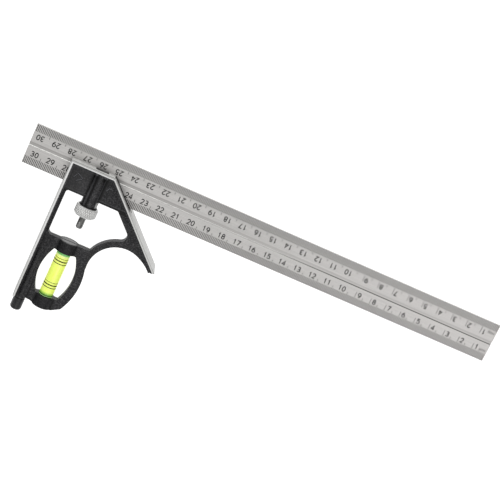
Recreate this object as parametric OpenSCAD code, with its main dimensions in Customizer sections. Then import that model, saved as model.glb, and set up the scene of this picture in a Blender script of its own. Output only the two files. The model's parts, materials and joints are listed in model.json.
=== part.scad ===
// Combination square with a 300 mm blade, a vial and a scriber.
// The square lies on its back on the plane Z = 0.
// X runs along the blade towards its zero end, Y from the head towards the blade's upper edge.
// The origin is the square corner: the fence's face meets the line of the blade's lower edge.

/* [Blade] */
// Length of the blade, 12 in
blade_l = 304.8; // [250:0.1:320]
// Width of the blade
blade_w = 25; // [24.5:0.1:26]
// Thickness of the blade
blade_t = 2; // [1.6:0.1:2.4]
// How far the blade stands out beyond the square fence
blade_out = 26.4; // [0:0.1:60]
// Width of the clamp groove
groove_w = 2.2; // [2.2:0.1:2.6]
// Depth of the clamp groove
groove_d = 0.7; // [0.6:0.05:0.9]
// Clearance on each side of the blade in the head
blade_gap = 0.1; // [0.05:0.01:0.15]

/* [Head] */
// Thickness of the head from its front rim to its back rim
head_t = 20; // [18:0.5:24]
// Height of the head's top edge above the blade's lower edge
head_rise = 15; // [14.6:0.1:16]
// Length of the square fence below the blade
fence_drop = 75.4; // [75:0.1:76]
// Length of the head's top edge
top_l = 27.8; // [27:0.1:29]
// Depth of the 45 degree leg's end below the blade
tip_drop = 28.8; // [28.5:0.1:30]
// Thickness of the flanges behind the three machined edges
flange_t = 2.3; // [2:0.1:2.6]
// Thickness of the web between the flanges
web_t = 5.6; // [5:0.1:6.4]

/* [Clamp] */
// Distance of the drawbolt's axis from the square fence
bolt_x = 19.75; // [18.5:0.05:20.5]
// Radius of the drawbolt's body
bolt_r = 3.27; // [3:0.01:3.3]
// Radius of the drawbolt's threaded stud
stud_r = 2.1; // [1.9:0.01:2.2]
// Lowest point of the stud, below the blade
stud_drop = 23.6; // [20:0.1:28]
// Lift of the drawbolt when the nut is slack
bolt_lift = 0.6; // [0.3:0.05:0.6]
// Outer radius of the knurled nut
nut_r = 6.8; // [6:0.1:7]
// Height of the knurled nut
nut_h = 6.3; // [5:0.1:6.5]
// Number of grooves round the nut
nut_grooves = 40; // [30:1:48]

/* [Vial] */
// Distance of the vial's axis from the square fence
vial_x = 18.1; // [17.8:0.1:18.4]
// Outer radius of the vial's tube
vial_r = 4.3; // [4.1:0.05:4.4]
// Wall of the vial's tube
vial_wall = 0.9; // [0.7:0.05:1]
// Length of the air space at the top of the vial
vial_air = 3; // [2:0.1:5]

/* [Scriber] */
// Distance of the scriber's axis from the square fence
scriber_x = 4.5; // [4.4:0.05:4.6]
// Radius of the scriber's needle
needle_r = 1.2; // [1:0.05:1.25]
// Length of the needle above the knob
needle_l = 39.4; // [36:0.1:39.6]
// Radius of the scriber's knob
knob_r = 3.45; // [2.8:0.05:3.6]
// Length of the scriber's knob
knob_l = 8; // [6:0.1:10]

/* [Hidden] */
$fn = 72;
// Overlap that makes each cut run clear of the face it starts from
eps = 0.5;
// Gap between pieces that rest on each other
rest_gap = 0.05;
// Gap round a shaft that turns or slides in its bore
run_gap = 0.06;

// Levels through the head's thickness
mid_z = head_t / 2;
web_z = mid_z - web_t / 2;
slot_t = blade_t + 2 * blade_gap;
blade_z = mid_z - blade_t / 2;
blade_front_z = mid_z + blade_t / 2;

// The 45 degree face is the line x + y = miter_sum
miter_sum = top_l + head_rise;
tip = [miter_sum + tip_drop, -tip_drop];
flange_run = flange_t * sqrt(2);

// Depth of the leg's square end, and the slope of the end of its flange
tip_end = 3;
tip_slope = 0.4;

// Finger arch under the 45 degree leg: a tight arc on the left, a wide one on the right
arch_c = [51.5, -41.8];
arch_r = 18.2;
leg_arc_r = 24.8;
leg_arc_c = [arch_c[0] - 1.5, arch_c[1] + arch_r - leg_arc_r];
arch_band = 3.7;

// Grip round the vial
grip_x = 33.4;
grip_arc_r = 39.4;
grip_arc_c = [-4.8, -55.2];
grip_join_y = grip_arc_c[1] + sqrt(grip_arc_r * grip_arc_r - (grip_x - grip_arc_c[0]) * (grip_x - grip_arc_c[0]));
grip_bottom_y = -77.5;
grip_flat = [14.5, 24.2];
grip_toe_slope = 0.575;
grip_corner = [10.5, -76.3];

// Window in the head
window_left = 4.2;
window_top_y = -4;
window_bottom_y = -33.5;
window_sum = miter_sum - 9.9;
window_corner_r = 1.5;
window_low_r = 2.5;
// Fillet between the 45 degree side and the arch, tangent to both
fillet_r = 4;
band_r = arch_r + arch_band;
fillet_reach = band_r + fillet_r;
fillet_k = window_sum - fillet_r * sqrt(2) - arch_c[1];
fillet_b = arch_c[0] + fillet_k;
fillet_x = (fillet_b - sqrt(fillet_b * fillet_b
            - 2 * (arch_c[0] * arch_c[0] + fillet_k * fillet_k - fillet_reach * fillet_reach))) / 2;
fillet_c = [fillet_x, fillet_k + arch_c[1] - fillet_x];

// Sight opening round the vial, a lens of two arcs
sight_c = [18.5, -55.4];
sight_arc_r = 32;
sight_half_w = 10.65;
sight_top_y = -40.4;
sight_low_y = -70;

// Drawbolt, its boss and the pieces below it
boss_r = 5;
boss_low_y = -8.6;
bolt_bore_r = bolt_r + run_gap;
bore_floor_y = boss_low_y + 1.4;
stud_hole_r = stud_r + 0.25;
bolt_full_y = -0.8;
bolt_shoulder_y = -2.4;
bolt_top_y = head_rise - 1.3;
groove_y = (blade_w - groove_w) / 2;
lip_w = 5;
lip_h = groove_w - bolt_lift - 2 * rest_gap;
lip_reach = groove_d - 0.15;
hook_gap = 0.12;
// Notch in the top flange that the hook is put in through
notch_x = 15.3;
notch_w = 7.4;
notch_top_z = mid_z + 3;
washer_r = 5.6;
washer_h = 0.5;
washer_y = boss_low_y - washer_h;
nut_top_y = washer_y - rest_gap;
nut_low_y = nut_top_y - nut_h;
nut_chamfer = 1;
nut_groove_d = 0.35;
spring_wire_r = 0.3;
spring_turns = 4;
spring_steps = 22;
spring_sides = 8;

// Vial, its seats and its plugs
boss_vial_r = 6.2;
seat_r = 6;
vial_bore_r = vial_r + rest_gap;
vial_plug_r = vial_r - vial_wall - rest_gap;
cushion_h = 0.8;
cushion_y = grip_bottom_y + 2.2;
tube_low_y = cushion_y + cushion_h + rest_gap;
screw_h = 2.7;
screw_r = 5;
screw_low_y = window_bottom_y - screw_h - rest_gap;
tube_top_y = screw_low_y - rest_gap;
end_plug_h = 3;
liquid_low_y = tube_low_y + end_plug_h + rest_gap;
liquid_top_y = tube_top_y - end_plug_h - vial_air;
meniscus_r = 8;
meniscus_d = 0.5;
screw_slot_w = 1.2;
screw_slot_d = 1;

// Scriber and its housing along the fence
housing_r = 3.35;
housing_top_y = -46;
housing_low_y = -77.6;
housing_taper = 4;
sleeve_r = 2;
sleeve_l = 8;
sleeve_bore_r = needle_r + run_gap;
needle_bore_r = needle_r + 0.3;
knob_top_y = housing_low_y - 0.25;
needle_grip = 6;
needle_point_l = 4;
knob_round = 1.9;
needle_top_y = knob_top_y + needle_l;

// Unit vector along v
function unit(v) = v / norm(v);
// Points of a fillet of radius r at corner b, between neighbours a and c
function fillet(a, b, c, r, n = 6) =
    let (u = unit(a - b), v = unit(c - b), half = acos(u * v) / 2)
    let (o = b + unit(u + v) * r / sin(half), s = b + u * r / tan(half) - o)
    let (e = b + v * r / tan(half) - o, a0 = atan2(s[1], s[0]), turn = atan2(e[1], e[0]) - a0)
    let (sweep = turn > 180 ? turn - 360 : turn < -180 ? turn + 360 : turn)
    [for (i = [0 : n]) o + r * [cos(a0 + sweep * i / n), sin(a0 + sweep * i / n)]];

// A cylinder or cone along Y from y0 to y1, through x and the middle of the head
module shaft(x, y0, y1, r0, r1 = -1) {
    translate([x, y0, mid_z]) rotate([-90, 0, 0]) cylinder(r1 = r0, r2 = r1 < 0 ? r0 : r1, h = y1 - y0);
}

// A tube along Y
module sleeve_shape(x, y0, y1, outer, inner) {
    difference() {
        shaft(x, y0, y1, outer);
        shaft(x, y0 - eps, y1 + eps, inner);
    }
}

// Everything of the head but its openings, seen from the front
module head_outline() {
    far_x = 2 * grip_x;
    toe = [grip_flat[1], grip_bottom_y];
    difference() {
        union() {
            polygon([[0, head_rise], [top_l, head_rise], tip, tip - [tip_end, tip_end],
                     [arch_c[0], tip[1] - 2 * tip_end], arch_c,
                     [grip_x, arch_c[1]], [grip_x, grip_join_y - eps], [0, grip_join_y - eps]]);
            intersection() {
                translate(grip_arc_c) circle(r = grip_arc_r, $fn = 180);
                polygon([[0, grip_join_y], [far_x, grip_join_y],
                         [far_x, toe[1] + grip_toe_slope * (far_x - toe[0])], toe,
                         [grip_flat[0], grip_bottom_y], grip_corner, [0, -fence_drop]]);
            }
        }
        translate(arch_c) circle(r = arch_r, $fn = 180);
        intersection() {
            translate(leg_arc_c) circle(r = leg_arc_r, $fn = 180);
            translate([leg_arc_c[0], arch_c[1] - arch_r]) square([tip[0], tip[0]]);
        }
    }
}

// Window between the clamp and the vial
module window_outline() {
    top_left = [window_left, window_top_y];
    top_right = [window_sum - window_top_y, window_top_y];
    low_left = [window_left, window_bottom_y];
    low_drop = window_bottom_y - arch_c[1];
    low_right = [arch_c[0] - sqrt(band_r * band_r - low_drop * low_drop), window_bottom_y];
    on_side = fillet_c + fillet_r * [1, 1] / sqrt(2);
    on_arch = arch_c + band_r * unit(fillet_c - arch_c);
    difference() {
        union() {
            polygon(concat(fillet(low_left, top_left, top_right, window_corner_r),
                           fillet(top_left, top_right, on_side, window_corner_r),
                           [on_side, fillet_c, on_arch, low_right],
                           fillet(low_right, low_left, top_left, window_low_r)));
            translate(fillet_c) circle(r = fillet_r);
        }
        translate(arch_c) circle(r = band_r, $fn = 180);
    }
}

// Opening beside the vial
module sight_outline() {
    offset_x = sight_arc_r - sight_half_w;
    intersection() {
        translate(sight_c + [offset_x, 0]) circle(r = sight_arc_r, $fn = 180);
        translate(sight_c - [offset_x, 0]) circle(r = sight_arc_r, $fn = 180);
        translate([0, sight_low_y]) square([2 * sight_arc_r, sight_top_y - sight_low_y]);
    }
}

// Flanges behind the square fence, the top edge and the 45 degree face
module flanges() {
    linear_extrude(head_t) {
        translate([0, -fence_drop]) square([flange_t, fence_drop + head_rise]);
        translate([0, head_rise - flange_t]) square([top_l, flange_t]);
        polygon([[top_l, head_rise], tip, tip - [flange_run - tip_slope, tip_slope],
                 [top_l - flange_run, head_rise]]);
    }
}

// Cast head with its blade slot, clamp bore, vial seats and scriber bore
module head_casting() {
    relief_x = 9;
    relief_l = 24;
    relief_d = 0.6;
    corner_l = 3;
    corner_d = 0.8;
    color("#26272a")
    difference() {
        union() {
            translate([0, 0, web_z]) linear_extrude(web_t) difference() {
                head_outline();
                window_outline();
                sight_outline();
            }
            flanges();
            shaft(bolt_x, boss_low_y, head_rise - flange_t / 2, boss_r);
            shaft(vial_x, sight_top_y, window_bottom_y, boss_vial_r);
            shaft(vial_x, grip_bottom_y, sight_low_y, seat_r);
            intersection() {
                union() {
                    shaft(scriber_x, housing_low_y, housing_top_y, housing_r);
                    shaft(scriber_x, housing_top_y, housing_top_y + housing_taper, housing_r, web_t / 2);
                }
                translate([0, -2 * fence_drop, 0]) cube([2 * housing_r + scriber_x, 2 * fence_drop, head_t]);
            }
        }
        // Blade slot, open at the top, with a relief between its two lands
        translate([-eps, 0, mid_z - slot_t / 2]) cube([miter_sum + 2 * eps, head_rise + eps, slot_t]);
        translate([relief_x, -relief_d, mid_z - slot_t / 2]) cube([relief_l, 2 * relief_d, slot_t]);
        translate([notch_x, head_rise - flange_t - eps, mid_z])
            cube([notch_w, flange_t + 2 * eps, notch_top_z - mid_z]);
        // Corner relief at the foot of the slot on the 45 degree face
        translate([miter_sum, 0, mid_z]) rotate([0, 0, -45])
            cube([2 * corner_l, 2 * corner_d, slot_t], center = true);
        // Drawbolt
        shaft(bolt_x, bore_floor_y, head_rise + eps, bolt_bore_r);
        shaft(bolt_x, boss_low_y - eps, bore_floor_y + eps, stud_hole_r);
        // Vial
        shaft(vial_x, cushion_y, window_bottom_y + eps, vial_bore_r);
        shaft(vial_x, screw_low_y, window_bottom_y + eps, screw_r + rest_gap);
        // Scriber
        shaft(scriber_x, housing_low_y - eps, needle_top_y + 1, needle_bore_r);
        shaft(scriber_x, housing_low_y - eps, housing_low_y + sleeve_l, sleeve_r + rest_gap);
    }
}

// Grooved steel rule
module blade() {
    color("#b4b2ac")
    translate([-blade_out, rest_gap, blade_z]) difference() {
        cube([blade_l, blade_w, blade_t]);
        translate([-eps, groove_y, blade_t - groove_d]) cube([blade_l + 2 * eps, groove_w, 2 * groove_d]);
    }
}

// Hooked bolt: a round foot with a stud below it, and a flat hook in front of the blade
module drawbolt() {
    color("#8d8c88")
    union() {
        shaft(bolt_x, bolt_shoulder_y, bolt_full_y, bolt_r);
        shaft(bolt_x, -stud_drop, bolt_shoulder_y + eps, stud_r);
        intersection() {
            shaft(bolt_x, bolt_full_y - eps, bolt_top_y, bolt_r);
            translate([bolt_x - bolt_r, -bolt_r, blade_front_z + hook_gap]) cube([2 * bolt_r, 2 * head_rise, bolt_r]);
        }
        translate([bolt_x - lip_w / 2, groove_y + 2 * rest_gap, blade_front_z - lip_reach])
            cube([lip_w, lip_h, lip_reach + 2 * hook_gap]);
    }
}

// Compression spring that lifts the slack drawbolt
module clamp_spring() {
    coil_r = (stud_r + bolt_bore_r) / 2;
    low_y = bore_floor_y + spring_wire_r + rest_gap;
    rise = bolt_shoulder_y - spring_wire_r - rest_gap - low_y;
    rings = spring_turns * spring_steps;
    points = [for (i = [0 : rings]) let (a = 360 * i / spring_steps, y = low_y + rise * i / rings)
              for (j = [0 : spring_sides - 1]) let (b = 360 * j / spring_sides, q = coil_r + spring_wire_r * cos(b))
              [q * cos(a), y + spring_wire_r * sin(b), -q * sin(a)]];
    sides = [for (i = [0 : rings - 1]) for (j = [0 : spring_sides - 1])
             let (k = (j + 1) % spring_sides, p = i * spring_sides, q = p + spring_sides)
             [p + k, p + j, q + j, q + k]];
    first_cap = [for (j = [0 : spring_sides - 1]) j];
    last_cap = [for (j = [spring_sides - 1 : -1 : 0]) rings * spring_sides + j];
    color("#9a9a98")
    translate([bolt_x, 0, mid_z]) polyhedron(points, concat(sides, [first_cap, last_cap]));
}

// Thin washer between the boss and the nut
module clamp_washer() {
    color("#1d1d1f")
    sleeve_shape(bolt_x, washer_y, boss_low_y, washer_r, stud_hole_r);
}

// Nut with a grooved band above a plain tapered collar
module clamp_nut() {
    collar_r = nut_r - nut_groove_d - rest_gap;
    groove_side = sqrt(2) * nut_groove_d;
    color("#c9c8c4")
    difference() {
        union() {
            shaft(bolt_x, nut_low_y, nut_low_y + nut_chamfer, collar_r - nut_chamfer, collar_r);
            difference() {
                shaft(bolt_x, nut_low_y + nut_chamfer, nut_top_y, nut_r);
                for (i = [0.5 : nut_grooves])
                    translate([bolt_x, nut_low_y, mid_z]) rotate([0, 360 * i / nut_grooves, 0])
                    translate([nut_r, 0, 0]) rotate([-90, 45, 0])
                    translate([-groove_side / 2, -groove_side / 2, 0]) cube([groove_side, groove_side, 2 * nut_h]);
            }
        }
        shaft(bolt_x, nut_low_y - eps, nut_top_y + eps, stud_r + run_gap);
    }
}

// Clear tube of the vial
module vial_tube() {
    color("#dfeedd", 0.5)
    sleeve_shape(vial_x, tube_low_y, tube_top_y, vial_r, vial_r - vial_wall);
}

// Tinted liquid, with a dished top under the air space
module vial_liquid() {
    color("#d9ef4f", 0.8)
    difference() {
        shaft(vial_x, liquid_low_y, liquid_top_y, vial_plug_r);
        translate([vial_x, liquid_top_y + meniscus_r - meniscus_d, mid_z]) sphere(r = meniscus_r);
    }
}

// Plug that seals the upper end of the tube
module vial_upper_plug() {
    color("#4f9e55")
    shaft(vial_x, tube_top_y - end_plug_h, tube_top_y, vial_plug_r);
}

// Plug that seals the lower end of the tube
module vial_lower_plug() {
    color("#4f9e55")
    shaft(vial_x, tube_low_y, tube_low_y + end_plug_h, vial_plug_r);
}

// Rubber pad under the vial
module vial_cushion() {
    color("#1b1b1b")
    shaft(vial_x, cushion_y + rest_gap, cushion_y + cushion_h, vial_r);
}

// Slotted plug that holds the vial in its seats
module vial_retaining_screw() {
    color("#8f8f8e")
    difference() {
        shaft(vial_x, screw_low_y + rest_gap, window_bottom_y, screw_r);
        translate([vial_x - 2 * screw_r, window_bottom_y - screw_slot_d, mid_z - screw_slot_w / 2])
            cube([4 * screw_r, 2 * screw_slot_d, screw_slot_w]);
    }
}

// Bush that grips the scriber
module scriber_sleeve() {
    color("#a98f4a")
    sleeve_shape(scriber_x, housing_low_y, housing_low_y + sleeve_l - rest_gap, sleeve_r, sleeve_bore_r);
}

// Pointed steel needle, let into the knob
module scriber_needle() {
    color("#b9b9b6")
    union() {
        shaft(scriber_x, knob_top_y - needle_grip, needle_top_y - needle_point_l, needle_r);
        shaft(scriber_x, needle_top_y - needle_point_l, needle_top_y, needle_r, needle_r / 6);
    }
}

// Round-ended knob
module scriber_knob() {
    low = knob_top_y - knob_l;
    flat_r = knob_r - knob_round;
    color("#1e1f20")
    difference() {
        translate([scriber_x, low, mid_z]) rotate([-90, 0, 0]) rotate_extrude() difference() {
            union() {
                translate([0, knob_round]) square([knob_r, knob_l - knob_round]);
                square([flat_r, knob_l]);
                intersection() {
                    translate([flat_r, knob_round]) circle(r = knob_round);
                    translate([flat_r, 0]) square([knob_round, knob_round]);
                }
            }
        }
        shaft(scriber_x, knob_top_y - needle_grip - rest_gap, knob_top_y + eps, needle_r);
    }
}

head_casting();
blade();
drawbolt();
clamp_spring();
clamp_washer();
clamp_nut();
vial_tube();
vial_liquid();
vial_upper_plug();
vial_lower_plug();
vial_cushion();
vial_retaining_screw();
scriber_sleeve();
scriber_needle();
scriber_knob();
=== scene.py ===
import json
import math

import bmesh
import bpy
from mathutils import Matrix, Vector


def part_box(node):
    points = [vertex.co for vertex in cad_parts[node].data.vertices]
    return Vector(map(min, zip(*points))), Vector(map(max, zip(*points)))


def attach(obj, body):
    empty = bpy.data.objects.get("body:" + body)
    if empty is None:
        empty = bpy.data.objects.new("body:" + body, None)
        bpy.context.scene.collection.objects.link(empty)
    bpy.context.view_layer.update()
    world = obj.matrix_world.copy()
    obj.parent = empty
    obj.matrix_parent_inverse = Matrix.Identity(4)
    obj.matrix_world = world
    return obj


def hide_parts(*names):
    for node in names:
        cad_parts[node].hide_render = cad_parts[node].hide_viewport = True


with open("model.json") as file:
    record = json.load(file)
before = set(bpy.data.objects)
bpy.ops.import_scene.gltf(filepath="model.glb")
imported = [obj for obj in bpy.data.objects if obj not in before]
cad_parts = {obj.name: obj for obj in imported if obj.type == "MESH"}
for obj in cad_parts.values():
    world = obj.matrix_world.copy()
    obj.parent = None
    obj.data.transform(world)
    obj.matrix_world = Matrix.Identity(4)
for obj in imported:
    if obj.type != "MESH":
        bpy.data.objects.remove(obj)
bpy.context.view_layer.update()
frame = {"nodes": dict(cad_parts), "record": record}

MM = 0.001


def box_mm(node):
    """Lowest and highest corner of a CAD node, in millimetres."""
    low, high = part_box(node)
    return [c / MM for c in low], [c / MM for c in high]


def axis_xz(node):
    """Where the axis of a turned piece that runs along Y crosses the XZ plane."""
    low, high = box_mm(node)
    return (low[0] + high[0]) / 2, (low[2] + high[2]) / 2


def mount_mm(name):
    """Where one of the record's mounts is, in millimetres."""
    found = [m for m in frame["record"]["mounts"] if m["name"] == name][0]
    return [c / MM for c in found["pos_m"]]


# ---------------------------------------------------------------- sizes, from the frame
HEAD_LOW, HEAD_HIGH = box_mm("head_casting")
BLADE_LOW, BLADE_HIGH = box_mm("blade")
NUT_LOW, NUT_HIGH = box_mm("clamp_nut")
BOLT_LOW, BOLT_HIGH = box_mm("drawbolt")
TUBE_LOW, TUBE_HIGH = box_mm("vial_tube")
KNOB_TOP = box_mm("scriber_knob")[1][1]
BOLT_X, MID_Z = axis_xz("clamp_nut")
VIAL_X, _ = axis_xz("vial_tube")
SCRIBER_X, _ = axis_xz("scriber_needle")
NUT_R = (NUT_HIGH[0] - NUT_LOW[0]) / 2
BOLT_R = (BOLT_HIGH[0] - BOLT_LOW[0]) / 2
TUBE_R = (TUBE_HIGH[0] - TUBE_LOW[0]) / 2
# X + Y of any point on the 45 degree face
MITRE_SUM = sum(mount_mm("mitre_fence_face")[:2])
GROOVE_Y = (BLADE_LOW[1] + BLADE_HIGH[1]) / 2

# ---------------------------------------------------------------- sizes inside those boxes, in millimetres
# The head: its web and windows, its bosses, and the bright lands beside its machined faces
WEB_FRONT = 12.8
WINDOW_TOP = -4.0
EDGE_ROUND = 0.28
BOSS_R = 5.0
BOSS_LOW = -8.6
BOSS_HIGH = 13.0
VIAL_BOSS_R = 6.2
SEAT_R = 6.0
SEAT_TOP = -70.0
RIDGE_R = 3.35
RIDGE_TOP = -41.0
HOUSING_RIGHT = 9.0
LAND_SQUARE, LAND_TOP, LAND_MITRE = 1.3, 0.95, 1.1
# Painted shade on the machined faces, near black: in the hook's notch in the top face, and round the slot's
# mouth on the 45 degree face, down to a small depth, above its foot and behind a plane in Z
NOTCH_X, NOTCH_HALF, NOTCH_FOOT, NOTCH_TOP_Z = 19.0, 3.7, 9.1, 14.0
MOUTH_DEPTH, MOUTH_FOOT, MOUTH_TOP_Z = 0.35, -0.5, 16.0
# A grey line along the lapped top face: its middle in Z, half its width and its soft edge
LAPPED_LINE = (18.2, 0.7, 0.9)
# The blade: its groove, the radius on its edges, and how far its marks stand out of it and reach into it
GROOVE_W = 2.2
BLADE_ROUND = 0.12
MARK_PROUD = 0.015
MARK_SUNK = 0.05
# The clamp nut and the drawbolt
NUT_COLLAR = 1.0
NUT_BORE = 2.16
BORE_CHAMFER = 0.3
KNURL_COUNT = 32
KNURL_DEPTH = 0.42
KNURL_ROWS = 44
STUD_R = 2.1
STUD_TOP = -2.4
BOLT_BODY_TOP = -0.8
THREAD_PITCH = 0.7
THREAD_DEPTH = 0.22

# Roughness: how far the fine grain takes it below and above its level, and its level on ground metal
SMOOTHER, ROUGHER = 0.06, 0.08
GROUND_ROUGH = 0.42

# Meshes: the distance within which split vertices of a CAD mesh are joined, in millimetres, and two angles in
# degrees: below the first, faces count as one flat face, and above the second an edge of a CAD mesh is sharp
WELD = 0.002
FLAT_ANGLE = 0.5
SHARP_ANGLE = 28.0
# The corner of a stroke's sharp bend reaches out at most this many half widths of the stroke
CORNER_REACH = 2.0


# ---------------------------------------------------------------- mesh helpers
def add_mesh(name, verts, faces, material, body, smooth):
    """A piece from millimetre vertices."""
    mesh = bpy.data.meshes.new(name)
    mesh.from_pydata([(x * MM, y * MM, z * MM) for x, y, z in verts], [], faces)
    return add_object(name, mesh, material, body, smooth)


def add_object(name, mesh, material, body, smooth):
    """A piece that rides on a body, shaded smooth over edges of up to smooth degrees; 0 shades it flat."""
    bm = bmesh.new()
    bm.from_mesh(mesh)
    bmesh.ops.recalc_face_normals(bm, faces=bm.faces)
    for face in bm.faces:
        face.smooth = smooth > 0
    if smooth > 0:
        for edge in bm.edges:
            if len(edge.link_faces) == 2 and edge.calc_face_angle(0) > math.radians(smooth):
                edge.smooth = False
    bm.to_mesh(mesh)
    bm.free()
    mesh.materials.clear()
    mesh.materials.append(material)
    piece = bpy.data.objects.new(name, mesh)
    bpy.context.scene.collection.objects.link(piece)
    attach(piece, body)
    return piece


def welded_copy(node):
    """A copy of a CAD node's mesh with its split vertices joined and its flat faces merged."""
    mesh = frame["nodes"][node].data.copy()
    bm = bmesh.new()
    bm.from_mesh(mesh)
    bmesh.ops.remove_doubles(bm, verts=bm.verts, dist=WELD * MM)
    bmesh.ops.dissolve_limit(bm, angle_limit=math.radians(FLAT_ANGLE), verts=bm.verts, edges=bm.edges)
    bm.to_mesh(mesh)
    bm.free()
    return mesh


def turned(profile, axis, steps, ripple=None):
    """A closed ring of profile points (radius, y) turned round an axis along Y.
    ripple(angle, radius, y, index) gives the radius at each point."""
    verts, faces = [], []
    count = len(profile)
    for i in range(steps):
        angle = 2 * math.pi * i / steps
        for k, (radius, y) in enumerate(profile):
            r = ripple(angle, radius, y, k) if ripple else radius
            verts.append((axis[0] + r * math.cos(angle), y, axis[1] + r * math.sin(angle)))
    for i in range(steps):
        a, b = i * count, (i + 1) % steps * count
        for k in range(count):
            n = (k + 1) % count
            faces.append((a + k, a + n, b + n, b + k))
    return verts, faces


def ribbon(verts, faces, points, half_width, z_top, z_low, closed=False):
    """A flat stroke with real thickness along points, added to verts and faces."""
    start, count = len(verts), len(points)
    for i, (x, y) in enumerate(points):
        before = points[i - 1] if closed or i > 0 else points[i]
        after = points[(i + 1) % count] if closed or i < count - 1 else points[i]
        first = Vector((x - before[0], y - before[1]))
        second = Vector((after[0] - x, after[1] - y))
        first = first.normalized() if first.length > 0 else second.normalized()
        second = second.normalized() if second.length > 0 else first
        along = (first + second).normalized()
        reach = half_width / max(1 / CORNER_REACH, along.dot(second))
        side = Vector((-along.y, along.x)) * reach
        for sign, z in ((1, z_top), (-1, z_top), (-1, z_low), (1, z_low)):
            verts.append((x + sign * side.x, y + sign * side.y, z))
    for i in range(count if closed else count - 1):
        a, b = start + 4 * i, start + 4 * ((i + 1) % count)
        for k in range(4):
            n = (k + 1) % 4
            faces.append((a + k, a + n, b + n, b + k))
    if not closed:
        end = start + 4 * (count - 1)
        faces.append((start, start + 1, start + 2, start + 3))
        faces.append((end, end + 1, end + 2, end + 3))


# ---------------------------------------------------------------- material helpers
class Look:
    """A node material with short calls for the nodes that the looks share."""

    def __init__(self, name, base, rough, metallic=0.0, **sockets):
        self.material = bpy.data.materials.new(name)
        self.material.use_nodes = True
        self.tree = self.material.node_tree
        self.shader = self.tree.nodes["Principled BSDF"]
        self.shader.inputs["Base Color"].default_value = (*base, 1)
        self.shader.inputs["Roughness"].default_value = rough
        self.shader.inputs["Metallic"].default_value = metallic
        for key, value in sockets.items():
            self.shader.inputs[key.replace("_", " ")].default_value = value
        self.material.diffuse_color = (*base, 1)
        self.coords = self.tree.nodes.new("ShaderNodeTexCoord").outputs["Object"]

    def node(self, kind, **settings):
        made = self.tree.nodes.new(kind)
        for key, value in settings.items():
            setattr(made, key, value)
        return made

    def feed(self, socket, value):
        if isinstance(value, bpy.types.NodeSocket):
            self.tree.links.new(value, socket)
        else:
            socket.default_value = value

    def math(self, operation, a, b=0.0):
        made = self.node("ShaderNodeMath", operation=operation)
        self.feed(made.inputs[0], a)
        self.feed(made.inputs[1], b)
        return made.outputs[0]

    def xyz(self):
        made = self.node("ShaderNodeSeparateXYZ")
        self.feed(made.inputs[0], self.coords)
        return made.outputs[0], made.outputs[1], made.outputs[2]

    def stretched(self, scale):
        made = self.node("ShaderNodeMapping")
        self.feed(made.inputs["Vector"], self.coords)
        made.inputs["Scale"].default_value = scale
        return made.outputs[0]

    def noise(self, vector, scale, detail=3.0, rough=0.55):
        made = self.node("ShaderNodeTexNoise")
        self.feed(made.inputs["Vector"], vector)
        made.inputs["Scale"].default_value = scale
        made.inputs["Detail"].default_value = detail
        made.inputs["Roughness"].default_value = rough
        return made.outputs["Fac"]

    def spread(self, value, low, high, to_low, to_high):
        """value between low and high, carried over to the range from to_low to to_high."""
        made = self.node("ShaderNodeMapRange")
        self.feed(made.inputs["Value"], value)
        for key, number in (("From Min", low), ("From Max", high), ("To Min", to_low), ("To Max", to_high)):
            made.inputs[key].default_value = number
        return made.outputs[0]

    def vary(self, noise, to_low, to_high):
        """The range that nearly all of a noise's values lie in, carried over to the given one."""
        return self.spread(noise, 0.3, 0.7, to_low, to_high)

    def above(self, value, start, full):
        """0 below start, rising to 1 at full, both in millimetres."""
        return self.spread(value, start * MM, full * MM, 0.0, 1.0)

    def below(self, value, full, end):
        """1 below full, falling to 0 at end, both in millimetres."""
        return self.spread(value, full * MM, end * MM, 1.0, 0.0)

    def band(self, value, centre, half, soft):
        """1 within half of centre, falling to 0 over soft, all in millimetres."""
        away = self.math("ABSOLUTE", self.math("SUBTRACT", value, centre * MM))
        return self.below(away, half, half + soft)

    def chained(self, operation, values):
        made = values[0]
        for value in values[1:]:
            made = self.math(operation, made, value)
        return made

    def all_of(self, *masks):
        return self.chained("MULTIPLY", masks)

    def most_of(self, *masks):
        return self.chained("MAXIMUM", masks)

    def least_of(self, *values):
        return self.chained("MINIMUM", values)

    def mix(self, factor, a, b):
        made = self.node("ShaderNodeMix", data_type="RGBA")
        self.feed(made.inputs["Factor"], factor)
        # Inputs 6 and 7 and output 2 are the node's colours; the others are its numbers and vectors
        self.feed(made.inputs[6], a if isinstance(a, bpy.types.NodeSocket) else (*a, 1))
        self.feed(made.inputs[7], b if isinstance(b, bpy.types.NodeSocket) else (*b, 1))
        return made.outputs[2]

    def tint(self, base, tone, mask, strength=1.0):
        """base with tone laid over it where mask is 1."""
        return self.mix(self.math("MULTIPLY", mask, strength), base, tone)

    def bump(self, height, depth, strength):
        made = self.node("ShaderNodeBump")
        self.feed(made.inputs["Height"], height)
        made.inputs["Distance"].default_value = depth * MM
        made.inputs["Strength"].default_value = strength
        return made.outputs[0]

    def put(self, name, value):
        self.feed(self.shader.inputs[name], value)


# ---------------------------------------------------------------- enamel and ground faces of the head
BLACKEST = (0.003, 0.003, 0.003)
# Heights between which the streaks along the scriber's ridge fade out, upwards
RIDGE_STREAK_ENDS = (-59, -55)
FOOT_STREAK_ENDS = (-66, -63)
# Where the vial's upper seat and the lighter left end of the web are: middle and half size
VIAL_BOSS_Y, VIAL_BOSS_HALF = -38.5, 4.5
LIGHT_END_MIDDLE, LIGHT_END_HALF = (7.5, 4.5), (6.0, 8.0)
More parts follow.
